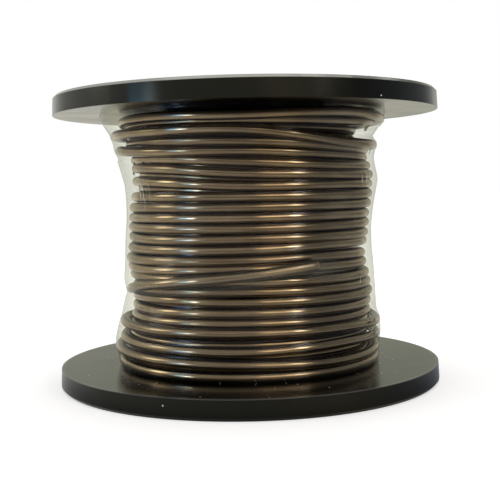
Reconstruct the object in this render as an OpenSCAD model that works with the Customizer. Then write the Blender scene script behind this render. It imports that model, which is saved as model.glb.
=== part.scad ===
// Reel of copper wire: a one-piece moulded plastic reel, a single length of round wire wound on it
// in layers with its cut end lying over the pack, and a clear film wrap that holds the turns.
// The reel stands on its lower flange. +Z runs up the bore, and the origin is the centre of the foot.

/* [Reel] */
// Diameter of both flanges
flange_d = 80; // [76:1:100]
// Height over both flanges
reel_h = 60; // [50:1:80]
// Thickness of each flange at its rim
flange_t = 4; // [3:0.5:6]
// Bevel round the outer edge of each rim
rim_bevel = 0.6; // [0.3:0.1:1]
// How much smaller each rim is in radius at its upper edge, as mould draft
rim_draft = 0.2; // [0.1:0.1:0.4]
// Outside diameter of the barrel under the wire
barrel_d = 32; // [28:1:34]
// Diameter of the spindle bore
bore_d = 16; // [12:0.5:18]
// Thickness of the barrel, the spindle tube and the flange web
wall = 2; // [1.5:0.1:2.4]
// Number of ribs round each flange and inside the barrel
rib_count = 8; // [4:1:10]

/* [Wire] */
// Diameter of the wire
wire_d = 2; // [1.6:0.1:2.2]
// Number of full layers on the barrel
layers = 5; // [3:1:5]
// Number of turns in the part layer at the lower flange
low_turns = 5; // [3:1:7]
// Steepest slope of the wire's free end where it crosses the pack, in degrees
end_slope = 11; // [9:1:13]

/* [Film] */
// Thickness of the clear film wrap
film_t = 0.15; // [0.1:0.05:0.3]
// Free gap between the film and the wire
film_gap = 0.1; // [0.05:0.05:0.2]

/* [Hidden] */
$fn = 96;

// Reel. The outer faces are cored out: a rim ring stands round a thinner web, which ribs stiffen.
flange_r = flange_d / 2;
barrel_r = barrel_d / 2;
bore_r = bore_d / 2;
tube_r = bore_r + wall;
rim_w = 3;                      // width of the rim ring
rim_in_r = flange_r - rim_w;
web_set = flange_t - wall;      // how deep the web lies in the outer face
rib_t = 1.6;
rib_set = 0.4;                  // how far the ribs stay below the rim
lap = 0.5;                      // how far one part of the moulding runs into the next
start_hole_d = wire_d + 1;
traverse = reel_h - 2 * flange_t;
low_face = flange_t;
high_face = reel_h - flange_t;

// Wire. Each layer sinks a little into the grooves of the one below.
wire_r = wire_d / 2;
layer_step = 0.925 * wire_d;
turns = floor(traverse / wire_d);
pitch = traverse / turns;
valley = 0.15;                  // how far the solid core stands out past the turns' centres
high_turns = 3;                 // turns that stand proud at the upper flange

// Free end: it lifts out of the outermost full layer at end_start and crosses over the turns above to
// the cut at end_cut. It is a stretch of a tilted ring, highest at end_top, whose centre is set off
// towards that side. Angles run anticlockwise from +X, seen from above.
end_start = 164;
end_cut = 300;
end_top = 310;
end_high_r = layer_r(layers) + 0.975 * wire_d;
end_low_r = layer_r(layers) - 0.4 * wire_d;
end_shift = (end_high_r - end_low_r) / 2;
end_r = (end_high_r + end_low_r) / 2 / cos(end_slope);
end_z = turn_z(low_turns + 1) - end_r * cos(end_start - end_top) * sin(end_slope);

// Film: it leans in from each proud turn by this much for each mm along the axis
film_lean = 0.35;
film_clear = film_gap + film_lean * film_lean * wire_r / 2;
end_room = 0.5;                 // room past the cut end under the film, as an angle

function layer_r(k) = barrel_r + wire_r + (k - 1) * layer_step;
function turn_z(i) = low_face + pitch * (i + 0.5);

// Layers of wire under the outer surface at turn i: the pack builds up where the wire turns back
function stack(i) =
    i < low_turns ? layers + 1
    : i == turns - 1 ? layers + 2
    : i >= turns - high_turns ? layers + 1
    : layers;

// How far out the wire reaches at turn i, and the inside of the film over it
function out_r(i) = layer_r(stack(i)) + wire_r;
function film_r(i) =
    film_clear + max([for (j = [0 : turns - 1]) out_r(j) - film_lean * pitch * abs(i - j)]);

module bar_2d(r0, r1, z0, z1) {
    translate([r0, z0]) square([r1 - r0, z1 - z0]);
}

// Half section of one flange's rim, bevelled at its outer edge. up is 1 for the upper flange.
module rim_2d(up) {
    z0 = up ? high_face : 0;
    z1 = z0 + flange_t;
    slope = rim_draft / flange_t;
    low_r = flange_r;
    high_r = flange_r - rim_draft;
    polygon(up
        ? [[rim_in_r, z0], [low_r, z0], [high_r + slope * rim_bevel, z1 - rim_bevel],
           [high_r - rim_bevel, z1], [rim_in_r, z1]]
        : [[rim_in_r, z0], [low_r - rim_bevel, z0], [low_r - slope * rim_bevel, z0 + rim_bevel],
           [high_r, z1], [rim_in_r, z1]]);
}

// Ribs that run out from the spindle tube to radius r1, between the heights z0 and z1
module ribs(r1, z0, z1) {
    r0 = tube_r - lap;
    for (n = [0 : rib_count - 1])
        rotate([0, 0, (n + 0.5) * 360 / rib_count])
            translate([r0, -rib_t / 2, z0]) cube([r1 - r0, rib_t, z1 - z0]);
}

module reel() {
    color([0.09, 0.09, 0.09])
    difference() {
        union() {
            rotate_extrude() {
                rim_2d(0);
                rim_2d(1);
                // Flange webs
                bar_2d(barrel_r - wall, rim_in_r + lap, web_set, low_face);
                bar_2d(barrel_r - wall, rim_in_r + lap, high_face, reel_h - web_set);
                // Barrel and spindle tube, joined by a plate at mid height
                bar_2d(barrel_r - wall, barrel_r, web_set, reel_h - web_set);
                bar_2d(bore_r, tube_r, 0, reel_h);
                bar_2d(tube_r - lap, barrel_r - wall + lap, (reel_h - wall) / 2, (reel_h + wall) / 2);
            }
            // Ribs inside the barrel, over its whole height
            ribs(barrel_r - wall + lap, rib_set, reel_h - rib_set);
            // Ribs under the lower flange and on top of the upper one
            ribs(rim_in_r + lap, rib_set, web_set + lap);
            ribs(rim_in_r + lap, reel_h - web_set - lap, reel_h - rib_set);
        }
        // Hole in the upper flange for the wire's inner end, beside the barrel
        translate([barrel_r + wire_d, 0, high_face - lap])
            cylinder(d = start_hole_d, h = flange_t);
    }
}

// Half section of the wound pack: its core, then the outermost turns as round bulges
module pack_2d() {
    for (i = [0 : turns - 1]) {
        r = layer_r(stack(i));
        bar_2d(barrel_r, r + valley, turn_z(i) - pitch / 2, turn_z(i) + pitch / 2);
        translate([r, turn_z(i)]) circle(r = wire_r);
    }
}

// Free end of the wire as a round bar of radius r, run on past the cut by the angle more
module free_end(r, more = 0) {
    rotate([0, 0, end_top])
        translate([end_shift, 0, end_z])
            rotate([0, -end_slope, 0])
                rotate([0, 0, end_start - end_top])
                    rotate_extrude(angle = end_cut - end_start + more)
                        translate([end_r, 0]) circle(r = r);
}

module wire() {
    color([0.45, 0.31, 0.2]) {
        rotate_extrude() pack_2d();
        free_end(wire_r);
    }
}

// Half section of the space inside the film, grown by a margin
module film_2d(margin) {
    polygon([
        [0, low_face],
        [film_r(0) + margin, low_face],
        for (i = [0 : turns - 1]) [film_r(i) + margin, turn_z(i)],
        [film_r(turns - 1) + margin, high_face],
        [0, high_face]
    ]);
}

// Thin skin over the pack, raised into a ridge where the free end lies under it
module film_wrap() {
    color([0.85, 0.87, 0.84, 0.35])
    difference() {
        union() {
            rotate_extrude() film_2d(film_t);
            free_end(wire_r + film_gap + film_t, 2 * end_room);
        }
        rotate_extrude() film_2d(0);
        free_end(wire_r + film_gap, end_room);
    }
}

reel();
wire();
film_wrap();
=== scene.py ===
# %% [markdown]
# # A reel of copper wire
# A black moulded reel carries one long copper wire, wound in layers from flange to flange. The wire
# is stiff, so its last turns are not perfect: some stand proud against the flanges, and the cut end
# slants across the pack. A clear film is stretched round it all and keeps the turns from springing.
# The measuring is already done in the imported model. This file loads that model as a fixed frame and
# gives every part its finish. Blender counts in metres, so sizes written in millimetres are scaled.

import math

import bpy
import numpy as np
from mathutils import Matrix, Vector


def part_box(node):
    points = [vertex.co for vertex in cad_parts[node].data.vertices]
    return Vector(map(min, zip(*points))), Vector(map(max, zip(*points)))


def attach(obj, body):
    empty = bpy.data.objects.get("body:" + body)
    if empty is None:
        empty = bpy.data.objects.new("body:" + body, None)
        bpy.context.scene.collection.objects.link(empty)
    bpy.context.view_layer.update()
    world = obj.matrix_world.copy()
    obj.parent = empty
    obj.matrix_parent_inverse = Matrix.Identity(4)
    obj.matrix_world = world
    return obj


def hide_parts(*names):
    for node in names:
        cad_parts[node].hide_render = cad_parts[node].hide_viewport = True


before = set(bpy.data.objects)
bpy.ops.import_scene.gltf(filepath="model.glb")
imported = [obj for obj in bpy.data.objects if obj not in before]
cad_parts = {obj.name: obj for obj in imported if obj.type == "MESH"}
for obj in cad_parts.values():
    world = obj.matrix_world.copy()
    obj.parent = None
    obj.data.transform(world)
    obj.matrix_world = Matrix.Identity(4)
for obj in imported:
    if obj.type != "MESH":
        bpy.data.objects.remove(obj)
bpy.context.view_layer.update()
MM = 0.001
flange_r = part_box("reel")[1].x
reel_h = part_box("reel")[1].z
low_face, high_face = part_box("wire")[0].z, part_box("wire")[1].z
print("flange radius", round(flange_r / MM, 2), "mm, height", round(reel_h / MM, 2), "mm")
print("winding space from", round(low_face / MM, 2), "to", round(high_face / MM, 2), "mm")

# %% [markdown]
# ## The camera
# The camera comes first, because everything after it is judged through it. It stands level with the
# upper third of the reel, a little above the middle, so the top of the lower flange shows and the
# underside of the upper one just does. The lens is a long one, which keeps the flanges from bulging.
# The picture leans a degree, as a hand-held one does.

# %% Place the camera
CAMERA_AT = Vector((0.46, -202.1, 41.1)) * MM
LENS = 68.23
LOOKS_DOWN, LEANS = 3.91, -1.231
NEAREST, FURTHEST = 0.01, 20


def put_in_scene(name, data):
    made = bpy.data.objects.new(name, data)
    bpy.context.scene.collection.objects.link(made)
    return made


camera = put_in_scene("camera", bpy.data.cameras.new("camera"))
camera.data.lens = LENS
camera.data.clip_start, camera.data.clip_end = NEAREST, FURTHEST
camera.matrix_world = (
    Matrix.Translation(CAMERA_AT)
    @ Matrix.Rotation(math.radians(90 - LOOKS_DOWN), 4, "X")
    @ Matrix.Rotation(math.radians(LEANS), 4, "Z")
)
bpy.context.scene.camera = camera
bpy.context.scene.view_settings.view_transform = "Standard"
print("camera", round(CAMERA_AT.length / MM), "mm from the foot, looking down", LOOKS_DOWN, "degrees")

# %% [markdown]
# ## Building finishes out of nodes
# Every finish here is a small tree of nodes. A few helpers keep the cells short. One starts a finish
# with its plain values, which belong on the shader itself, and one adds a node and wires it up. The
# others stand for the kinds of node that come back again and again.

# %% Helpers that make a finish and a node
def start_finish(name, **plain):
    finish = bpy.data.materials.new(name)
    finish.use_nodes = True
    shader = finish.node_tree.nodes["Principled BSDF"]
    for socket, value in plain.items():
        shader.inputs[socket.replace("_", " ")].default_value = value
    return finish, finish.node_tree, shader


def add_node(tree, kind, inputs=(), **settings):
    made = tree.nodes.new("ShaderNode" + kind)
    for setting, value in settings.items():
        setattr(made, setting, value)
    for socket, value in dict(inputs).items():
        if isinstance(value, bpy.types.NodeSocket):
            tree.links.new(value, made.inputs[socket])
        else:
            made.inputs[socket].default_value = value
    return made


print("a finish and its nodes can be made")

# %% Helpers for the usual nodes
def maths(tree, operation, a, b=0.0):
    return add_node(tree, "Math", {0: a, 1: b}, operation=operation).outputs[0]


def times(tree, a, b):
    return maths(tree, "MULTIPLY", a, b)


def noise(tree, place, scale, detail, **inputs):
    inputs = {"Vector": place, "Scale": scale, "Detail": detail, **inputs}
    return add_node(tree, "TexNoise", inputs).outputs["Fac"]


def mix(tree, share, one, other):
    """The first colour, turned towards the other by the share"""
    return add_node(tree, "MixRGB", {"Fac": share, "Color1": one, "Color2": other}).outputs[0]


def shades(tree, value, stops):
    """A colour ramp through the stops, each a position and a colour"""
    made = add_node(tree, "ValToRGB", {"Fac": value})
    ramp = made.color_ramp
    while len(ramp.elements) < len(stops):
        ramp.elements.new(0.5)
    for element, (place, colour) in zip(ramp.elements, stops):
        element.position = place
        element.color = (*colour, 1)
    return made.outputs["Color"]


def spread(tree, value, low, high, to_low=0.0, to_high=1.0, ease="LINEAR"):
    """The value stretched from one range on to another, and held at its ends"""
    inputs = {"Value": value, "From Min": low, "From Max": high, "To Min": to_low, "To Max": to_high}
    return add_node(tree, "MapRange", inputs, interpolation_type=ease).outputs["Result"]


def uneven(tree, shader, height, strength, depth):
    """Makes the shader's surface look raised by the height, without moving it"""
    bump = add_node(tree, "Bump", {"Height": height, "Strength": strength, "Distance": depth})
    tree.links.new(bump.outputs[0], shader.inputs["Normal"])


print("finish helpers ready")

# %% [markdown]
# ## What the reel stands among
# Bare metal shows its surroundings more than its own colour. White paper stands behind the reel, and
# the room on the camera's side is dim, which keeps the wire brown and the plastic black. Three lists
# say how bright each side looks from the reel: upwards, level and downwards. On the camera's side the
# level one is the dimmest, so each turn of wire shows a dark line between two lighter ones. A fourth
# list makes all three brighter or dimmer by height alone. A little warmth or coolness is mixed in,
# because a room is never an even grey.

# %% How bright each side is
def grey(level, warmth=0.0, green=0.0):
    """A grey that leans towards brown or green, or towards blue where warmth is below zero"""
    return (level * (1 + warmth - green), level, level * (1 - 2 * warmth - green))


# Each entry is degrees round to the right of the camera's side, brightness, warmth and green
ABOVE = [
    (-180, 0.31, 0.06, 0.10), (-150, 0.52, 0.05, 0.05), (-118, 0.60, 0.01), (-96, 0.60),
    (-50, 0.36, 0.01), (-30, 0.33, 0.01), (5, 0.33, 0.02), (25, 0.36, 0.06), (50, 0.27, 0.05),
    (66, 0.15, -0.06), (84, 0.16, -0.08), (98, 0.20, -0.07), (110, 0.27, -0.05),
    (125, 0.35, -0.03), (150, 0.42, 0.05, 0.05), (180, 0.31, 0.06, 0.10),
]
LEVEL = [
    (-180, 0.62, 0.06, 0.03), (-165, 0.72, 0.05, 0.03), (-148, 1.05, 0.01), (-128, 0.60, 0.02),
    (-112, 0.62, 0.01), (-96, 0.48, 0.01), (-80, 0.36, 0.01), (-60, 0.25, 0.01), (-32, 0.165),
    (0, 0.12, 0.01), (16, 0.145, 0.06), (32, 0.14, 0.06), (48, 0.13), (64, 0.125, -0.04),
    (80, 0.17, -0.07), (98, 0.225, -0.07), (128, 0.25, -0.04), (148, 0.90, 0.01),
    (165, 0.60, 0.06, 0.05), (180, 0.58, 0.06, 0.04),
]
BELOW = [
    (-180, 0.85, 0.02), (-130, 0.74, 0.02), (-114, 0.76), (-96, 0.73), (-60, 0.50), (-30, 0.41),
    (0, 0.34), (20, 0.39, 0.06), (34, 0.41, 0.06), (52, 0.30), (68, 0.26, -0.06),
    (82, 0.34, -0.07), (98, 0.40, -0.07), (125, 0.44), (150, 0.74, 0.03), (180, 0.85, 0.02),
]
# Each entry is degrees up, and how many times as bright it is there
UP_AND_DOWN = [
    (-90, 0.7), (-45, 0.8), (-34, 0.62), (-26, 1.08), (-15, 1.0), (-9, 1.25), (-3, 1.0),
    (6, 0.86), (14, 1.62), (23, 1.0), (47, 1.05), (65, 1.0), (90, 0.8),
]
places_round = len(ABOVE) + len(LEVEL) + len(BELOW)
print("surroundings at", places_round, "places round and", len(UP_AND_DOWN), "up")

# %% [markdown]
# ## Mixing the surroundings by direction
# The floor and the world share these nodes, so a reflection doesn't change where the floor ends. They
# turn a direction into degrees round and degrees up, look up all three lists, and blend from one to the
# next by height. A colour ramp is meant for values up to about 1, so the fourth list is scaled down for
# its ramp and back up afterwards.

# %% Brightness by direction
BELOW_ENDS, ABOVE_STARTS = (-14, -4), (4, 12)
BRIGHTEST = 1.5


def by_side(tree, round_to, sides):
    return shades(tree, round_to, [(at / 360 + 0.5, grey(*look)) for at, *look in sides])


def mirrored_side(tree, direction):
    """How bright the surroundings look in a shiny surface, by the direction round and up"""
    ahead = add_node(tree, "VectorMath", {0: direction}, operation="NORMALIZE").outputs[0]
    split = add_node(tree, "SeparateXYZ", {0: ahead})
    front = times(tree, split.outputs["Y"], -1.0)
    round_to = spread(tree, maths(tree, "ARCTAN2", split.outputs["X"], front), -math.pi, math.pi)
    raised = maths(tree, "ARCSINE", split.outputs["Z"])
    to_level, to_above = (
        spread(tree, raised, *map(math.radians, limits), ease="SMOOTHSTEP")
        for limits in (BELOW_ENDS, ABOVE_STARTS)
    )
    low = mix(tree, to_level, by_side(tree, round_to, BELOW), by_side(tree, round_to, LEVEL))
    level = mix(tree, to_above, low, by_side(tree, round_to, ABOVE))
    share = shades(tree, spread(tree, raised, -math.pi / 2, math.pi / 2),
                   [(at / 180 + 0.5, grey(part / BRIGHTEST)) for at, part in UP_AND_DOWN])
    both = add_node(tree, "VectorMath", {0: level, 1: share}, operation="MULTIPLY").outputs[0]
    return add_node(tree, "VectorMath", {0: both, "Scale": BRIGHTEST}, operation="SCALE").outputs[0]


def seen_rays(tree):
    """1 for rays from the camera, and 1 for those that a glossy or clear surface sends on"""
    path = add_node(tree, "LightPath")
    glossy = maths(tree, "ADD", path.outputs["Is Glossy Ray"], path.outputs["Is Transmission Ray"])
    return path.outputs["Is Camera Ray"], glossy


print("level from", BELOW_ENDS[1], "to", ABOVE_STARTS[0], "degrees up")

# %% [markdown]
# ## White paper
# The reel stands on white paper that runs off to the horizon. The lamps light the paper near the reel,
# so the reel's soft shadow lies on it, but they leave it grey. So the paper glows a little as well,
# more where the lamps don't reach, which makes it plain white. Only the camera sees that glow. It
# lights nothing, so it can't bleach the reel. A shiny surface sees the surroundings by direction
# instead, taken from the middle of the reel.

# %% Paper finish
LAMPLIT_TO, PLAIN_FROM = 0.15, 0.9
GLOW_NEAR, GLOW_FAR = 0.5, 0.64
FIBRES, PAPER_TONES = 900.0, [(0.3, (0.76, 0.76, 0.75)), (0.7, (0.8, 0.8, 0.79))]
MIDDLE = Vector((0, 0, 30 * MM))


def paper_finish():
    finish, tree, shader = start_finish("white_paper", Roughness=0.9)
    place = add_node(tree, "TexCoord").outputs["Object"]
    away = add_node(tree, "VectorMath", {0: place}, operation="LENGTH").outputs["Value"]
    strength = spread(tree, away, LAMPLIT_TO, PLAIN_FROM, GLOW_NEAR, GLOW_FAR, ease="SMOOTHSTEP")
    tone = shades(tree, noise(tree, place, FIBRES, 4.0), PAPER_TONES)
    tree.links.new(tone, shader.inputs["Base Color"])
    camera_ray, mirror_ray = seen_rays(tree)
    glow = add_node(tree, "Emission", {"Strength": times(tree, camera_ray, strength)})
    lit = add_node(tree, "AddShader", {0: shader.outputs["BSDF"], 1: glow.outputs[0]})
    from_middle = add_node(tree, "VectorMath", {0: place, 1: (0, 0, -MIDDLE.z)}, operation="ADD")
    mirrored = add_node(tree, "Emission", {"Color": mirrored_side(tree, from_middle.outputs[0])})
    whole = add_node(tree, "MixShader", {0: mirror_ray, 1: lit.outputs[0], 2: mirrored.outputs[0]})
    tree.links.new(whole.outputs[0], tree.nodes["Material Output"].inputs["Surface"])
    return finish


white_paper = paper_finish()
print("paper finish made")

# %% Lay the floor
FLOOR_R, FLOOR_SIDES = 3.0, 64
turn = 2 * math.pi / FLOOR_SIDES
rim = [(FLOOR_R * math.cos(k * turn), FLOOR_R * math.sin(k * turn), 0) for k in range(FLOOR_SIDES)]
paper_mesh = bpy.data.meshes.new("paper_floor")
paper_mesh.from_pydata(rim, [], [list(range(FLOOR_SIDES))])
paper_mesh.materials.append(white_paper)
floor = put_in_scene("paper_floor", paper_mesh)
print("paper floor", 2 * FLOOR_R, "m across")

# %% [markdown]
# ## The room
# The world is what every ray meets that leaves the table. The camera sees plain white, a shiny surface
# sees the surroundings by direction, and everything else gets a low even fill.

# %% Light the world
ROOM_FILL = 0.5
WHITE = (1, 1, 1, 1)
world = bpy.data.worlds.new("studio")
world.use_nodes = True
bpy.context.scene.world = world
tree = world.node_tree
room = mirrored_side(tree, add_node(tree, "TexCoord").outputs["Generated"])
camera_ray, mirror_ray = seen_rays(tree)
lit = mix(tree, mirror_ray, (ROOM_FILL, ROOM_FILL, ROOM_FILL, 1), room)
tree.links.new(mix(tree, camera_ray, lit, WHITE), tree.nodes["Background"].inputs["Color"])
print("room fill", ROOM_FILL)

# %% [markdown]
# ## The lamps
# The wire runs level, so a lamp draws one bright spot on every turn, and the spots line up into an
# upright streak. A streak falls halfway round to its lamp. On the left are a warm lamp, far round, and
# two cool ones, the nearer nearly white and the other blue. On the right is a narrow bright lamp, and a
# wide warm one about it, so each spot there glows out along its turn. The two cool lamps hang low
# enough for the upper flange's edge to catch only their tops, which turns it blue grey there. A large
# soft lamp overhead lights the floor and the tops of the flanges.

# %% Hang the lamps
# Each has a name, degrees round and up, metres away, width and height in metres, brightness and colour
LAMPS = [
    ("lamp_left_far", -89.5, 23.5, 0.7, (0.20, 0.26), 2.6, (1.0, 0.99, 0.92)),
    ("lamp_left_cool", -60.5, -1.1, 0.7, (0.13, 0.31), 3.8, (0.18, 0.52, 1.0)),
    ("lamp_left_near", -53, -1, 0.7, (0.07, 0.30), 9.2, (0.62, 0.77, 1.0)),
    ("lamp_right", 45, 27, 0.7, (0.07, 0.26), 7.0, (0.94, 0.96, 1.0)),
    ("lamp_right_wide", 31, 27, 0.8, (0.58, 0.28), 1.4, (1.0, 0.82, 0.62)),
    ("lamp_overhead", 180, 82, 0.6, (0.45, 0.45), 1.8, (1.0, 0.99, 0.97)),
]


def hang_lamp(name, round_to, up, away, size, brightness, colour):
    """A rectangle lamp that faces the reel. brightness is how bright its face looks, and 1 is white."""
    a, e = math.radians(round_to), math.radians(up)
    lamp = bpy.data.lights.new(name, "AREA")
    lamp.shape = "RECTANGLE"
    lamp.size, lamp.size_y = size
    lamp.energy = brightness * math.pi * size[0] * size[1]
    lamp.color = colour
    hung = put_in_scene(name, lamp)
    out = Vector((math.sin(a) * math.cos(e), -math.cos(a) * math.cos(e), math.sin(e)))
    hung.location = MIDDLE + away * out
    hung.rotation_euler = (-out).to_track_quat("-Z", "Y").to_euler()


for lamp in LAMPS:
    hang_lamp(*lamp)
print(len(LAMPS), "lamps hung")

# %% [markdown]
# ## How the wire lies
# The wire is 2 mm thick and its turns lie a little over 2 mm apart, so the height of a regular turn is
# easy to work out from its number. Real turns wander, the pack bulges here and sinks there, and where
# the winder turned back at a flange the turns heap up. So the regular turns come from a rule, and the
# few that lie elsewhere are named one by one. The wander is drawn with a fixed seed, so it comes out
# the same each time.

# %% Rule for a regular turn
WIRE_R = 1.0 * MM
OUTER_R = 24.4 * MM
LAST_LAYER_START, LAST_LAYER_PITCH = 14.65 * MM, 2.03 * MM
FIRST_TURN, HEAP_TURN = 4, 24
# Degrees round from the far left, by the side that the camera sees, to the far right
SIDES = (180, 225, 270, 315, 360)
rng = np.random.default_rng(11)
bends = np.random.default_rng(5)


def last_layer_height(n):
    return LAST_LAYER_START + LAST_LAYER_PITCH * (n - FIRST_TURN)


print("turn", FIRST_TURN, "is", round(last_layer_height(FIRST_TURN) / MM, 2), "mm up, turn", HEAP_TURN,
      round(last_layer_height(HEAP_TURN) / MM, 2), "mm")

# %% How the pack bulges
# Distance of the turns' centres from the axis, as (height, left side, right side)
PACK_SIDES = [
    (15.0, 24.0, 24.8), (18.4, 23.3, 25.3), (22.5, 23.8, 24.7), (26.5, 24.7, 23.9), (30.0, 24.2, 24.5),
    (35.0, 24.0, 24.9), (39.0, 23.4, 25.5), (43.0, 22.9, 25.8), (47.0, 23.1, 24.6), (52.0, 23.1, 23.0),
]


def pack_lean(angle, height):
    """How far the pack bulges or sinks to the left and right of the middle"""
    heights, left_r, right_r = np.array(PACK_SIDES).T
    to_left = np.clip(-np.cos(np.radians(angle)), 0, 1) ** 2
    to_right = np.clip(np.cos(np.radians(angle)), 0, 1) ** 2
    left = np.interp(height / MM, heights, left_r) * MM - OUTER_R
    right = np.interp(height / MM, heights, right_r) * MM - OUTER_R
    return to_left * left + to_right * right


print("the pack leans at", len(PACK_SIDES), "heights")

# %% [markdown]
# ## The turns that lie elsewhere
# The lists give the height and the distance from the axis at five places on the camera's side, from
# the left round to the right, in millimetres. The wire comes up to the top flange and turns back
# there, so the first turns on the way down lie proud, heaped on the last three that came up. It goes
# down to the lower flange and turns back again, and four more turns lie proud on the last five there.
# Then it was cut, and its end slants up across the turns under it.

# %% Heights and distances of the odd turns
ODD_HEIGHTS = {
    24: (54.2, 54.4, 54.1, 54.8, 54.3),
    23: (53.7, 53.5, 53.2, 53.3, 54.0),
    22: (51.9, 51.8, 51.5, 49.2, 49.0),
    21: (50.1, 49.9, 49.4, 48.3, 47.9),
    20: (48.9, 47.9, 47.5, 46.8, 46.4),
    19: (46.7, 46.6, 45.4, 44.8, 44.75),
    18: (45.2, 44.8, 43.3, 42.9, 42.9),
    17: (42.4, 41.9, 40.9, 40.9, 40.9),
    16: (39.3, 39.1, 38.9, 39.0, 39.0),
    11: (28.8, 28.7, 29.0, 29.3, 29.0),
    10: (26.7, 26.7, 27.0, 27.1, 26.4),
    9: (24.9, 24.9, 25.3, 25.0, 24.6),
    8: (23.2, 23.2, 22.8, 22.6, 22.5),
    7: (20.9, 20.9, 20.9, 20.7, 20.6),
    6: (18.9, 19.1, 18.8, 18.8, 18.8),
}
ODD_RADII = {
    24: (25.7, 26.6, 27.8, 28.1, 28.1),
    23: (24.3, 25.2, 26.4, 26.3, 26.0),
    22: (27.2, 27.3, 27.2, 26.9, 26.4),
    21: (23.2, 24.9, 25.8, 25.5, 24.8),
    20: (26.5, 25.6, 24.8, 24.5, 24.6),
}
LOW_HEIGHTS = [
    (5.3, 5.1, 5.0, 5.0, 5.1),
    (8.0, 7.6, 7.3, 6.8, 7.0),
    (10.1, 9.9, 9.8, 10.3, 9.7),
    (13.3, 13.2, 13.3, 13.1, 12.5),
]
LOW_RADII = [
    (26.7, 26.5, 26.3, 26.4, 26.4),
    (27.5, 27.1, 26.6, 26.5, 26.5),
    (26.4, 26.4, 26.6, 26.8, 26.7),
    (26.4, 26.3, 26.3, 26.5, 26.8),
]
HEAP_HEIGHTS = (54.0, 52.0, 50.0)
HEAP_RADII = (24.2, 24.3, 24.0, 22.7, 22.2)
UNDER_HEIGHTS = (12.8, 10.8, 8.6, 6.7, 5.0)
# The end of the wire, as (degrees round, distance from the axis, height)
TAIL = [
    (90, 25.9, 17.0), (180, 24.7, 19.6), (225, 25.8, 22.15), (270, 26.3, 24.2), (300, 26.35, 25.7),
]
print(len(ODD_HEIGHTS), "odd turns above,", len(LOW_HEIGHTS), "proud turns below")

# %% [markdown]
# ## One line for the whole outer wire
# The wire is one piece, so its centre is one line: angle, distance from the axis and height at a few
# places on each turn, with a smooth curve through them. It steps to the next turn at the back, as a
# winder does. A spline curve object could do this too, but an array of points can be measured
# afterwards, and the film needs to know where every turn is.

# %% Places on each turn
WANDER = 0.08


def turn_places(heights, radii, wander=0.0):
    """Five places on a turn as radii and heights in metres, with a little seeded wander"""
    heights = np.broadcast_to(np.asarray(heights, float), 5) * MM
    heights = heights + rng.normal(0, wander * MM, 5)
    if radii is None:
        radii = OUTER_R + pack_lean(np.array(SIDES), heights)
    else:
        radii = np.broadcast_to(np.asarray(radii, float), 5) * MM
    radii = radii + bends.normal(0, wander * MM, 5)
    return np.stack([radii, heights], 1)


laid = [turn_places(z, HEAP_RADII) for z in HEAP_HEIGHTS]
for n in range(HEAP_TURN, FIRST_TURN - 1, -1):
    heights = ODD_HEIGHTS.get(n, last_layer_height(n) / MM)
    laid.append(turn_places(heights, ODD_RADII.get(n), wander=WANDER))
laid += [turn_places(z, OUTER_R / MM) for z in UNDER_HEIGHTS]
laid += [turn_places(z, r) for z, r in zip(LOW_HEIGHTS, LOW_RADII)]
print(len(laid), "turns laid")

# %% Join them into one line
AT_BACK = 360 + 90
LINE_STEP = 3.0


def joined(turns):
    """Stations along the turns, with one more at the back where each steps on to the next"""
    stations = []
    for k, places in enumerate(turns):
        stations += [(360 * k + side, *place) for side, place in zip(SIDES, places)]
        if k + 1 < len(turns):
            stations.append((360 * k + AT_BACK, *((places[-1] + turns[k + 1][0]) / 2)))
    return stations


def smooth_line(stations, at):
    """A smooth curve through the stations, read at the angles asked for"""
    x, y = stations[:, 0], stations[:, 1:]
    slope = np.gradient(y, x, axis=0)
    k = np.clip(np.searchsorted(x, at) - 1, 0, len(x) - 2)
    gap = (x[k + 1] - x[k])[:, None]
    t = ((at - x[k]) / gap[:, 0])[:, None]
    return (
        (1 + 2 * t) * (1 - t) ** 2 * y[k]
        + t * (1 - t) ** 2 * gap * slope[k]
        + t * t * (3 - 2 * t) * y[k + 1]
        + t * t * (t - 1) * gap * slope[k + 1]
    )


last = 360 * len(laid)
stations = np.array(joined(laid) + [(last + angle, r * MM, z * MM) for angle, r, z in TAIL])
outer_angles = np.arange(stations[0, 0], stations[-1, 0] + 0.01, LINE_STEP)
outer_line = smooth_line(stations, outer_angles)
print("outer wire:", round((outer_angles[-1] - outer_angles[0]) / 360, 2), "turns in one line")

# %% [markdown]
# ## From a line to a round wire
# A ring of points is set square to the line at each place, and neighbouring rings are joined by
# faces. Each face also gets flat coordinates, along the wire and around it, so that the finish can
# draw its lines lengthwise, the way a drawing die leaves them.

# %% Helpers for points and meshes
def points_on(angles, line):
    a = np.radians(angles)
    return np.stack([line[:, 0] * np.cos(a), line[:, 0] * np.sin(a), line[:, 1]], 1)


def unit(v):
    return v / np.linalg.norm(v, axis=1, keepdims=True)


def smooth_mesh(name, points, faces):
    mesh = bpy.data.meshes.new(name)
    mesh.from_pydata(points.reshape(-1, 3).tolist(), [], faces)
    mesh.polygons.foreach_set("use_smooth", [True] * len(mesh.polygons))
    return put_in_scene(name, mesh)


print("mesh helpers ready")

# %% Rings and faces of a round wire
BEVEL = 0.12


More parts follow.
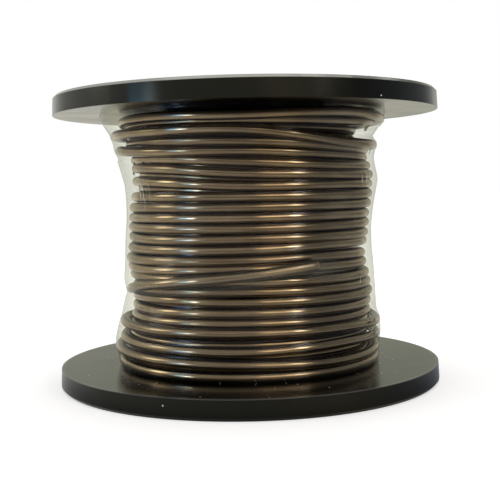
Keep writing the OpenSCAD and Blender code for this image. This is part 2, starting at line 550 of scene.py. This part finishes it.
def wire_rings(centres, radius, sides):
    """Rings square to the line of centres, with a small bevel at both ends"""
    along = unit(np.gradient(centres, axis=0))
    out = centres * (1, 1, 0)
    out = unit(out - (out * along).sum(1, keepdims=True) * along)
    up = np.cross(along, out)
    bevel = BEVEL * radius
    centres = np.vstack([centres[:1], centres[:1] + bevel * along[:1], centres[1:-1],
                         centres[-1:] - bevel * along[-1:], centres[-1:]])
    out = np.vstack([out[:1], out, out[-1:]])[:, None]
    up = np.vstack([up[:1], up, up[-1:]])[:, None]
    reach = np.full(len(centres), radius)
    reach[[0, -1]] -= bevel
    around = np.linspace(0, 2 * math.pi, sides, endpoint=False)[None, :, None] + math.pi
    square = np.cos(around) * out + np.sin(around) * up
    return centres, centres[:, None] + reach[:, None, None] * square


def round_wire(name, centres, radius, sides):
    """A closed round bar along the centres, and its length"""
    centres, rings = wire_rings(centres, radius, sides)
    count = len(centres)
    i, j = (v.ravel() for v in np.meshgrid(np.arange(count - 1), np.arange(sides), indexing="ij"))
    here, beside = i * sides + j, i * sides + (j + 1) % sides
    faces = np.stack([here + sides, beside + sides, beside, here], -1).tolist()
    faces.append(list(range(sides)))
    faces.append(list(range((count - 1) * sides, count * sides))[::-1])
    made = smooth_mesh(name, rings, faces)
    # Flat coordinates: metres along the wire, and the share of the way around it
    run = np.concatenate([[0], np.cumsum(np.linalg.norm(np.diff(centres, axis=0), axis=1))])
    along = np.stack([run[i + 1], run[i + 1], run[i], run[i]], -1)
    around = np.stack([j, j + 1, j + 1, j], -1) / sides
    ends = np.full((2 * sides, 2), (run[-1], 0.5))
    flat = np.vstack([np.stack([along, around], -1).reshape(-1, 2), ends])
    made.data.uv_layers.new(name="winding").data.foreach_set("uv", flat.ravel())
    return made, run[-1]


OUTER_SIDES = 16
outer_centres = points_on(outer_angles, outer_line)
wire_outer, outer_length = round_wire("wire_outer", outer_centres, WIRE_R, OUTER_SIDES)
print("outer wire:", round(outer_length, 2), "m,", len(wire_outer.data.polygons), "faces")

# %% [markdown]
# ## The layer under it
# Between turns that have drawn apart the next layer shows. Each of its turns lies in the groove of two
# turns above, touching both. So it is halfway between their heights, and further in by as much as two
# round wires leave room for. Where the two have drawn apart it comes further out.

# %% Wind the layer beneath
# It starts under the third turn on the way down, because the heap hides what is above that
FIRST_COVERED = len(HEAP_HEIGHTS) + 2
LEAST_STEP = 1.2 * MM
UNDER_LINE_STEP, UNDER_SIDES = 4.0, 12
beneath = []
for k in range(FIRST_COVERED, len(laid) - len(LOW_HEIGHTS) - 1):
    one, other = laid[k], laid[k + 1]
    half_gap = (one[:, 1] - other[:, 1]) / 2
    step = np.sqrt(np.clip((2 * WIRE_R) ** 2 - half_gap**2, LEAST_STEP**2, None))
    radii, heights = np.minimum(one[:, 0], other[:, 0]) - step, (one[:, 1] + other[:, 1]) / 2
    beneath.append(np.stack([radii, heights], 1))
under_stations = np.array(joined(beneath))
under_angles = np.arange(under_stations[0, 0], under_stations[-1, 0], UNDER_LINE_STEP)
under_centres = points_on(under_angles, smooth_line(under_stations, under_angles))
wire_under, under_length = round_wire("wire_under", under_centres, WIRE_R, UNDER_SIDES)
print("layer beneath:", len(beneath), "turns,", round(under_length, 2), "m")

# %% [markdown]
# ## The core of the pack
# Below that nothing can be seen but dark grooves. The rest of the pack is one turned body that
# fills the space down to the barrel, its outside scalloped into turns like the layers over it.

# %% Helper for a turned body
def turned(name, profile, sides):
    """A closed outline of (radius, height) pairs turned about the axis"""
    turn = np.linspace(0, 2 * math.pi, sides, endpoint=False)
    r, z = np.array(profile).T
    points = np.stack([np.outer(np.cos(turn), r), np.outer(np.sin(turn), r),
                       np.broadcast_to(z, (sides, len(z)))], -1)
    n = len(profile)
    faces = []
    for s in range(sides):
        t = (s + 1) % sides
        faces += [(s * n + k, t * n + k, t * n + (k + 1) % n, s * n + (k + 1) % n) for k in range(n)]
    return smooth_mesh(name, points, faces)


print("turning helper ready")

# %% Turn the core
BARREL_R = 16 * MM
SKIN = 0.02 * MM
LAYER_STEP = 1.85 * MM
CORE_PITCH, CORE_SET_BACK = 2 * WIRE_R, 0.9 * MM
CORE_SIDES = 96
GROOVE = np.radians(np.linspace(-80, 80, 7))
core_turns = round((high_face - low_face) / CORE_PITCH) - 1
core_r = OUTER_R - 2 * LAYER_STEP - CORE_SET_BACK
profile = [(BARREL_R + SKIN, low_face + SKIN)]
for n in range(core_turns):
    middle = low_face + CORE_PITCH * (n + 0.5)
    profile += [(core_r + WIRE_R * math.cos(a), middle + WIRE_R * math.sin(a)) for a in GROOVE]
profile.append((BARREL_R + SKIN, high_face - SKIN))
wire_core = turned("wire_core", profile, CORE_SIDES)
print("core:", core_turns, "turns,", len(wire_core.data.polygons), "faces")

# %% [markdown]
# ## Aged copper
# The wire is copper that has gone brown on the reel. It is metal, so its colour is the colour of what
# it mirrors. Four things break up the shine: fine lines drawn along the wire by the die, which
# stretch each highlight across the wire, slow patches of darker tarnish, stretches that are duller
# than others, and a little grain. Painted shade darkens the flanks where turns touch, so only the
# outer face keeps its plain colour. The last stretch before the cut has been scuffed dull by hands.

# %% Copper finish
TARNISHED = [
    (0.36, (0.22, 0.155, 0.092)), (0.47, (0.35, 0.26, 0.162)),
    (0.56, (0.47, 0.355, 0.225)), (0.66, (0.60, 0.465, 0.305)),
]
# Painted shade: the dark colour mixed into the wire's flanks where the turns touch
GROOVE_SHADE = (0.07, 0.062, 0.05, 1)
# How often each pattern repeats, as (per metre along the wire, once round it, unused)
DRAWN_LINES, DULL_STRETCHES = (60.0, 34.0, 1.0), (11.0, 0.3, 1.0)
# How fine the tarnish and the grain are, and how much each pattern counts in the colour
TARNISH_SCALE, GRAIN_SCALE = 120.0, 2600.0
LINES_PART, TARNISH_PART, STRETCH_PART = 0.4, 0.3, 0.3
# Shares of the way round from the outer face where painted shade begins and is darkest, and its most
GROOVE_SHADE_FROM, GROOVE_SHADE_FULL, GROOVE_SHADE_MOST = 0.10, 0.20, 0.85
SCUFFED_FROM, SCUFFED_TO = outer_length - 16 * MM, outer_length - 8 * MM
SHINIEST, DULLEST, SCUFFED = 0.11, 0.27, 0.34
SCRATCH_DEPTH = 0.04 * MM


def copper_finish():
    finish, tree, shader = start_finish("aged_copper", Metallic=1.0)
    winding = add_node(tree, "UVMap", uv_map="winding").outputs["UV"]
    place = add_node(tree, "TexCoord").outputs["Object"]
    lengthwise = add_node(tree, "Mapping", {"Vector": winding, "Scale": DRAWN_LINES}).outputs[0]
    lines = noise(tree, lengthwise, 1.0, 3.0, Roughness=0.6)
    tarnish = noise(tree, place, TARNISH_SCALE, 5.0)
    grain = noise(tree, place, GRAIN_SCALE, 2.0)
    drawn_out = add_node(tree, "Mapping", {"Vector": winding, "Scale": DULL_STRETCHES}).outputs[0]
    stretch = noise(tree, drawn_out, 1.0, 2.0)
    slow = maths(tree, "ADD", times(tree, tarnish, TARNISH_PART), times(tree, stretch, STRETCH_PART))
    colour = shades(tree, maths(tree, "ADD", times(tree, lines, LINES_PART), slow), TARNISHED)
    # Around the wire the outer face is halfway
    split = add_node(tree, "SeparateXYZ", {0: winding})
    off_top = maths(tree, "ABSOLUTE", maths(tree, "SUBTRACT", split.outputs["Y"], 0.5))
    # Painted shade on the flanks that face the neighbouring turns
    groove_shade = spread(tree, off_top, GROOVE_SHADE_FROM, GROOVE_SHADE_FULL, 0.0, GROOVE_SHADE_MOST)
    tree.links.new(mix(tree, groove_shade, colour, GROOVE_SHADE), shader.inputs["Base Color"])
    scuffed = spread(tree, split.outputs["X"], SCUFFED_FROM, SCUFFED_TO, 0.0, SCUFFED)
    polish = spread(tree, stretch, 0.36, 0.64, DULLEST, SHINIEST)
    tree.links.new(maths(tree, "MAXIMUM", scuffed, polish), shader.inputs["Roughness"])
    uneven(tree, shader, maths(tree, "ADD", lines, times(tree, grain, 0.4)), 0.25, SCRATCH_DEPTH)
    return finish


aged_copper = copper_finish()
for piece in (wire_outer, wire_under, wire_core):
    piece.data.materials.append(aged_copper)
print("copper finish on the wire's pieces")

# %% [markdown]
# ## Where the film lies
# The film is pulled tight round the pack, so it touches the turns that stand out and spans the
# hollows between them. For each direction round the axis, the wire's outline is worked out from
# its line. Then the film is that outline with every hollow bridged, because the film can lean in from
# a turn only so fast. On the right it is drawn in more sharply than on the left.

# %% Outline of the wire all round
FILM_ROWS, FILM_COLUMNS = 240, 400
FILM_START, FILM_LAP = 78, 14
DEEPEST_R = OUTER_R - 0.5 * MM
film_z = np.linspace(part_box("film_wrap")[0].z + SKIN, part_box("film_wrap")[1].z - SKIN, FILM_ROWS)
film_angles = np.linspace(FILM_START, FILM_START + 360 + FILM_LAP, FILM_COLUMNS)


def wire_outline(angle):
    """How far out the wire reaches in one direction, at each height of the film"""
    at = np.arange(angle % 360, outer_angles[-1] + 0.01, 360)
    line = smooth_line(stations, at[at >= outer_angles[0]])
    off = film_z[:, None] - line[None, :, 1]
    inside = np.clip(WIRE_R**2 - off**2, 0, None)
    reach = np.where(inside > 0, line[None, :, 0] + np.sqrt(inside), 0)
    return np.maximum(reach.max(1), DEEPEST_R)


outline = np.array([wire_outline(angle) for angle in film_angles])
print("wire out to", round(outline.max() / MM, 2), "mm from the axis")

# %% Stretch the film over it
FILM_GAP = 0.12 * MM
LEAN, LEAN_MORE_RIGHT = 0.27, 0.55
SMOOTH_ROWS, SMOOTH_WIDTH = 6, 3.0
soft = np.exp(-0.5 * (np.arange(-SMOOTH_ROWS, SMOOTH_ROWS + 1) / SMOOTH_WIDTH) ** 2)
soft /= soft.sum()


def bridged(outline, lean):
    apart = np.abs(film_z[:, None] - film_z[None, :])
    return (outline[None, :] - lean * apart).max(1)


def blurred(shape):
    """The shape smoothed along its rows"""
    padded = np.pad(shape, ((0, 0), (SMOOTH_ROWS, SMOOTH_ROWS)), mode="edge")
    return sum(w * padded[:, k : k + shape.shape[1]] for k, w in enumerate(soft))


to_right = 0.5 + 0.5 * np.cos(np.radians(film_angles))
film_r = FILM_GAP + np.array([
    bridged(o, LEAN + LEAN_MORE_RIGHT * t**2) for o, t in zip(outline, to_right)
])
print("film from", round(film_r.min() / MM, 2), "to", round(film_r.max() / MM, 2), "mm from the axis")

# %% [markdown]
# Thin film also gives a little between neighbouring turns. Where it touches them it sinks part of the
# way into the groove, which makes it ribbed like the wire. It never comes closer to the wire than a
# small clearance.

# %% Sink it into the grooves
CREST_ROWS = 5
TOUCH, GROOVE_DEPTH, CLEAR = 0.5 * MM, 0.8 * MM, 0.06 * MM
SINK = 0.34
near = np.pad(outline, ((0, 0), (CREST_ROWS, CREST_ROWS)), mode="edge")
crest = np.max([near[:, k : k + FILM_ROWS] for k in range(2 * CREST_ROWS + 1)], axis=0)
film_r = np.maximum(blurred(film_r), blurred(crest) + FILM_GAP)
touching = np.clip(1 - (film_r - FILM_GAP - crest) / TOUCH, 0, 1)
film_r -= SINK * touching * (crest - np.maximum(outline, crest - GROOVE_DEPTH))
film_r = np.maximum(blurred(film_r.T).T, outline + CLEAR)
print(round(100 * touching.mean()), "% of the film touches wire")

# %% [markdown]
# ## Where the film stands off
# The film doesn't cling everywhere. It flares to the top flange on the left, and it bulges clear of the
# turns in a few places on both sides. It also has slow and fine puckers, and its free edge laps over
# its start at the back.

# %% Loosen and wrinkle it
# Distance from the axis at the far left and the far right, as (height, distance)
FILM_LEFT = [
    (4.2, 26.6), (6.5, 27.6), (9, 28.6), (12, 28.0), (14, 27.4), (16, 26.7), (18.5, 25.8), (20, 26.0),
    (22, 26.4), (26, 26.05), (30, 25.9), (35, 25.45), (39, 25.45), (42.5, 25.75), (45, 26.2),
    (49, 27.5), (52, 28.4), (54, 29.8), (55.8, 30.6),
]
FILM_RIGHT = [
    (4.2, 26.6), (6, 27.0), (8, 27.6), (10, 27.95), (13, 27.8), (15, 27.0), (20, 26.85), (24, 26.65),
    (28, 26.2), (32, 26.2), (36, 26.65), (40, 27.3), (42, 27.7), (44, 27.3), (46, 26.9), (47, 26.95),
    (49, 27.6), (50.5, 26.8), (51.7, 26.5), (53, 27.4), (54.5, 29.2), (55.8, 29.4),
]
LEFT_AT, RIGHT_AT = 188, -8
PUCKER, LAP_LIFT, LAP_RISE = 0.03 * MM, 0.12 * MM, 2
PROUD = 1.9 * MM
for middle, profile in ((LEFT_AT, FILM_LEFT), (RIGHT_AT, FILM_RIGHT)):
    heights, radii = np.array(profile).T
    side_r = blurred(np.interp(film_z / MM, heights, radii)[None, :]) * MM
    share = np.clip(np.cos(np.radians(film_angles - middle)), 0, 1)[:, None] ** 4
    film_r += share * np.clip(side_r - film_r, 0, None)
a = np.radians(film_angles)[:, None]
z = film_z[None, :] / MM
slow, fine = np.sin(9 * a + 0.21 * z + 1.3) * np.sin(0.35 * z + 4 * a), np.sin(23 * a - 0.5 * z)
film_r += PUCKER * (slow + 0.6 * fine)
film_r += LAP_LIFT * np.clip((film_angles - FILM_START - 360) / LAP_RISE, 0, 1)[:, None]
film_r = np.minimum(film_r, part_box("film_wrap")[1].x + PROUD)
print("film from", round(film_r.min() / MM, 2), "to", round(film_r.max() / MM, 2), "mm from the axis")

# %% Make the film's mesh
points = np.stack([film_r * np.cos(a), film_r * np.sin(a), np.broadcast_to(film_z, film_r.shape)], -1)
i, j = np.meshgrid(np.arange(FILM_COLUMNS - 1), np.arange(FILM_ROWS - 1), indexing="ij")
first = i * FILM_ROWS + j
quads = np.stack([first, first + FILM_ROWS, first + FILM_ROWS + 1, first + 1], -1).reshape(-1, 4)
film = smooth_mesh("film", points, quads.tolist())
print("film:", len(film.data.polygons), "faces")

# %% [markdown]
# ## Where the film is gathered, darkened or tented
# In a few places the film is gathered into fine upright creases, some pale and some dark, and the dark
# ones are painted shade. In other places a dark tint on the film is painted shade over the hollows
# behind it. Along the free end it stands off as a tent does, and there it looks milky. These are too
# fine for the mesh, so each point of it carries how strongly it is marked, and the finish reads that.

# %% Mark the film
# Places as (degrees round, height, half width, half height)
GATHERED = [
    (216.5, 40.2, 1.7, 2.2), (201, 47, 0.5, 2.6), (207, 5.5, 0.5, 1.2), (328.5, 21.8, 0.8, 1.1),
    (332, 14.5, 0.8, 0.8), (336, 10.8, 0.9, 1.2), (337, 48, 0.35, 2.2), (330, 42, 1.3, 1.0),
    (340, 37.5, 0.5, 1.0),
]
# Places where a dark tint on the film is painted shade
SHADE_SPOTS = [
    (215, 45.8, 0.5, 0.4), (222, 45.8, 0.5, 0.4), (212, 43.9, 0.6, 0.45), (337, 13.3, 0.45, 0.5),
    (330.5, 13.2, 0.7, 0.3), (334.5, 10.7, 0.4, 0.5), (332, 51.9, 0.9, 0.7),
]
# The tent: its middle below the free end and its half height in mm, and how many degrees it reaches
# past the cut and back from it, with the degrees over which it fades out there
TENT_BELOW, TENT_HALF = 0.9, 1.7
PAST_CUT, PAST_FADE, BACK, BACK_FADE = 20, 16, 105, 30
PACK_R = 25


def swell(value, middle, width):
    return np.exp(-(((value - middle) / width) ** 2))


def marked(places):
    """How strongly each point of the film is marked by the places"""
    total = np.zeros_like(film_r)
    for angle, height, wide, tall in places:
        along = np.radians(film_angles - angle)[:, None] * PACK_R
        total += swell(along, 0, wide) * swell(z, height, tall)
    return np.clip(total, 0, 1)


def tented():
    """How milky the film is along the free end, fading out past the cut and back towards the left"""
    before_cut = stations[-1, 0] % 360 - film_angles
    end_z = smooth_line(stations, outer_angles[-1] - np.clip(before_cut, 0, BACK))[:, 1]
    past = np.clip((before_cut + PAST_CUT) / PAST_FADE, 0, 1)
    back = np.clip((BACK - before_cut) / BACK_FADE, 0, 1)
    return (past * back)[:, None] * swell(z, end_z[:, None] / MM - TENT_BELOW, TENT_HALF)


marks = {"gathered": marked(GATHERED), "shade_spots": marked(SHADE_SPOTS), "tented": tented()}
for mark, strength in marks.items():
    film.data.attributes.new(mark, "FLOAT", "POINT").data.foreach_set("value", strength.ravel())
# The dark places are painted shade
print(len(GATHERED), "gathered and", len(SHADE_SPOTS), "stuck places, and the tent along the free end")

# %% [markdown]
# ## Clear film
# Thin film hardly hides what is behind it. What shows is its gloss, which grows towards the edges, and
# a faint haze. So the finish is mostly a clear shader, with a little pale haze mixed in and a glossy
# layer over it by the angle of view. Seen edge on the film also takes on a slight tint.

# %% Haze and tint of the film
CLEAR_TINTS = [(0.0, (0.97, 0.97, 0.96)), (0.5, (0.88, 0.892, 0.835)), (1.0, (0.80, 0.80, 0.73))]
# Painted shade: the dark tint for the dark creases and dark spots
SHADE_SPOT_TINT = (0.08, 0.08, 0.07, 1)
# The creases are a fine pattern drawn out upwards
UPRIGHT, CREASE_SCALE, CLOUD_SCALE = (1.0, 1.0, 0.15), 1500.0, 110.0
# The most that pale creases, the painted shade of dark creases and dark spots, and the tent add
PALEST, DARKEST, SHADE_SPOT_MOST, MILKIEST = 0.5, 0.8, 0.85, 0.065
# The least and the most haze seen edge on, and the most of the clouds seen face on
EDGE_LEAST, EDGE_MOST, FACE_MOST = 0.05, 0.13, 0.01


def film_marks(tree, place):
    """The pale creases, the painted shade of the dark creases and dark spots, and the milky tent"""
    gathered, shade_spots, milky = (
        add_node(tree, "Attribute", attribute_name=mark).outputs["Fac"]
        for mark in ("gathered", "shade_spots", "tented")
    )
    upright = add_node(tree, "Mapping", {"Vector": place, "Scale": UPRIGHT}).outputs[0]
    creases = noise(tree, upright, CREASE_SCALE, 2.0)
    pale = times(tree, gathered, spread(tree, creases, 0.54, 0.62, 0.0, PALEST))
    # The dark creases and dark spots are painted shade
    dark = times(tree, gathered, spread(tree, creases, 0.46, 0.38, 0.0, DARKEST))
    dark = maths(tree, "MAXIMUM", dark, spread(tree, shade_spots, 0.3, 0.7, 0.0, SHADE_SPOT_MOST))
    return pale, dark, times(tree, milky, MILKIEST)


def film_haze(tree, place, slant, pale, milky):
    """The share of pale haze: cloudy, and thicker towards the edges, where creased and in the tent"""
    cloud = noise(tree, place, CLOUD_SCALE, 4.0)
    at_edges = spread(tree, cloud, 0.35, 0.7, EDGE_LEAST, EDGE_MOST)
    haze = times(tree, maths(tree, "POWER", slant, 3.0), at_edges)
    for more in (spread(tree, cloud, 0.45, 0.75, 0.0, FACE_MOST), milky, pale):
        haze = maths(tree, "ADD", haze, more)
    return haze


print("film helpers ready")

# %% Film finish
FILM_PALE = (0.72, 0.72, 0.60, 1)
# How glossy the film is seen face on and edge on, and the waves in its gloss
GLOSS_FACE_ON, GLOSS_EDGE_ON = 0.025, 0.42
WAVE_SCALE, WAVE_DEPTH = 260.0, 0.1 * MM


def film_finish():
    finish, tree, shader = start_finish("clear_film", Base_Color=FILM_PALE, Roughness=0.5)
    place = add_node(tree, "TexCoord").outputs["Object"]
    slant = add_node(tree, "LayerWeight", {"Blend": 0.5}).outputs["Facing"]
    pale, dark, milky = film_marks(tree, place)
    haze = film_haze(tree, place, slant, pale, milky)
    # The clear colour turns to the painted shade's tint where the film is marked dark
    tint = mix(tree, dark, shades(tree, slant, CLEAR_TINTS), SHADE_SPOT_TINT)
    clear = add_node(tree, "BsdfTransparent", {"Color": tint})
    body = add_node(tree, "MixShader", {0: haze, 1: clear.outputs[0], 2: shader.outputs[0]})
    gloss = add_node(tree, "BsdfGlossy", {"Roughness": 0.18})
    uneven(tree, gloss, noise(tree, place, WAVE_SCALE, 2.0), 0.05, WAVE_DEPTH)
    shine = spread(tree, maths(tree, "POWER", slant, 5.0), 0.0, 1.0, GLOSS_FACE_ON, GLOSS_EDGE_ON)
    whole = add_node(tree, "MixShader", {0: shine, 1: body.outputs[0], 2: gloss.outputs[0]})
    tree.links.new(whole.outputs[0], tree.nodes["Material Output"].inputs["Surface"])
    return finish


film.data.materials.append(film_finish())
print("film finish made")

# %% [markdown]
# ## Black moulded plastic
# The reel is one moulding in black plastic with a satin shine. Its surface isn't perfectly flat, and
# its black is a little cloudy. Dust has settled on what faces up, most of it on the lower flange close
# to the wire, where nobody wipes. The upper flange's edge carries a painted reflection in grey, more in
# some stretches than in others and fading out towards the right, and a thin painted highlight runs
# round the lower flange's inner edge. The dust is the small centre of a few cells of a cell pattern,
# so it comes in single specks.

# %% Dust on the plastic
DUST = (0.55, 0.53, 0.47, 1)
DUSTY_TO, CLEAN_FROM = 27 * MM, 32 * MM
# The share of cells without a speck: near the wire, further out, and on all other plastic
BARE_NEAR, BARE_FAR, BARE_ELSEWHERE = 0.80, 0.97, 0.985
CELL_SCALE, SPECK_R = 900.0, 0.15


def dust_share(tree, place, height, from_axis):
    """1 on a speck of dust, and 0 between them"""
    near_wire = spread(tree, from_axis, DUSTY_TO, CLEAN_FROM, BARE_NEAR, BARE_FAR)
    facing = add_node(tree, "SeparateXYZ", {0: add_node(tree, "NewGeometry").outputs["Normal"]})
    faces_up = maths(tree, "GREATER_THAN", facing.outputs["Z"], 0.5)
    on_lower = times(tree, faces_up, maths(tree, "LESS_THAN", height, 2 * low_face))
    bare = add_node(tree, "Mix", {0: on_lower, 2: BARE_ELSEWHERE, 3: near_wire}).outputs[0]
    cell = add_node(tree, "TexVoronoi", {"Vector": place, "Scale": CELL_SCALE})
    drawn = add_node(tree, "SeparateColor", {0: cell.outputs["Color"]}).outputs[0]
    dot = maths(tree, "LESS_THAN", cell.outputs["Distance"], SPECK_R)
    return times(tree, dot, maths(tree, "GREATER_THAN", drawn, bare))


print("dust ready")

# %% Painted sheen on the edges of the plastic
# Painted reflection: the grey of the sheen on the edges
PAINTED_SHEEN = (0.34, 0.34, 0.32, 1)
# Between each pair the painted sheen sets in, outwards to the rim and upwards to the top, or fades out,
# towards the right and away from the lower flange's edge
RIM_SHEEN_BAND = flange_r - 0.95 * MM, flange_r - 0.65 * MM
TOP_SHEEN_BAND = reel_h - 0.6 * MM, reel_h - 0.45 * MM
RIGHT_SHEEN_FADE = 26 * MM, 31 * MM
LINE_SHEEN_BAND = 0.06 * MM, 0.2 * MM
LEAST_SHEEN, LINE_SHEEN = 0.55, 0.2


def sheen_share(tree, cloud, split, from_axis):
    """How far the black is turned grey by painted sheen, on the upper edge and along the lower rim's
    inner edge
    """
    outer = spread(tree, from_axis, *RIM_SHEEN_BAND)
    high = spread(tree, split.outputs["Z"], *TOP_SHEEN_BAND)
    not_right = spread(tree, split.outputs["X"], *RIGHT_SHEEN_FADE, 1.0, 0.0)
    patchy = spread(tree, cloud, 0.38, 0.48, LEAST_SHEEN, 1.0)
    upper = times(tree, times(tree, outer, high), times(tree, patchy, not_right))
    off_edge = maths(tree, "ABSOLUTE", maths(tree, "SUBTRACT", split.outputs["Z"], low_face))
    line = times(tree, outer, spread(tree, off_edge, *LINE_SHEEN_BAND, LINE_SHEEN, 0.0))
    return maths(tree, "MAXIMUM", upper, times(tree, line, patchy))


print("worn edges ready")

# %% Plastic finish
BLACKS = [(0.3, (0.0008, 0.0008, 0.0007)), (0.75, (0.0022, 0.0022, 0.0019))]
SHINE_TINT = (1.0, 1.0, 0.8, 1)
SMOOTHEST, ROUGHEST = 0.10, 0.20
CLOUDINESS, UNEVENNESS, UNEVEN_DEPTH = 90.0, 300.0, 0.1 * MM


def plastic_finish():
    finish, tree, shader = start_finish("black_moulding", IOR=1.45, Specular_Tint=SHINE_TINT)
    place = add_node(tree, "TexCoord").outputs["Object"]
    split = add_node(tree, "SeparateXYZ", {0: place})
    flat = add_node(tree, "CombineXYZ", {"X": split.outputs["X"], "Y": split.outputs["Y"]}).outputs[0]
    from_axis = add_node(tree, "VectorMath", {0: flat}, operation="LENGTH").outputs["Value"]
    cloud = noise(tree, place, CLOUDINESS, 5.0)
    dust = dust_share(tree, place, split.outputs["Z"], from_axis)
    dusty = mix(tree, dust, shades(tree, cloud, BLACKS), DUST)
    # Painted sheen on the edges, mixed over the dusty black
    painted_sheen = sheen_share(tree, cloud, split, from_axis)
    tree.links.new(mix(tree, painted_sheen, dusty, PAINTED_SHEEN), shader.inputs["Base Color"])
    tree.links.new(spread(tree, cloud, 0.3, 0.7, SMOOTHEST, ROUGHEST), shader.inputs["Roughness"])
    uneven(tree, shader, noise(tree, place, UNEVENNESS, 6.0), 0.10, UNEVEN_DEPTH)
    return finish


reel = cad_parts["reel"]
reel.material_slots[0].material = plastic_finish()
print("plastic finish on the reel")

# %% [markdown]
# ## Attaching the pieces
# The wire's three pieces and the film ride on the root body, and the imported nodes that they stand
# for are hidden.

# %% Ride and replace
for piece in (wire_outer, wire_under, wire_core):
    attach(piece, "root")
    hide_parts("wire")
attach(film, "root")
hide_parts("film_wrap")
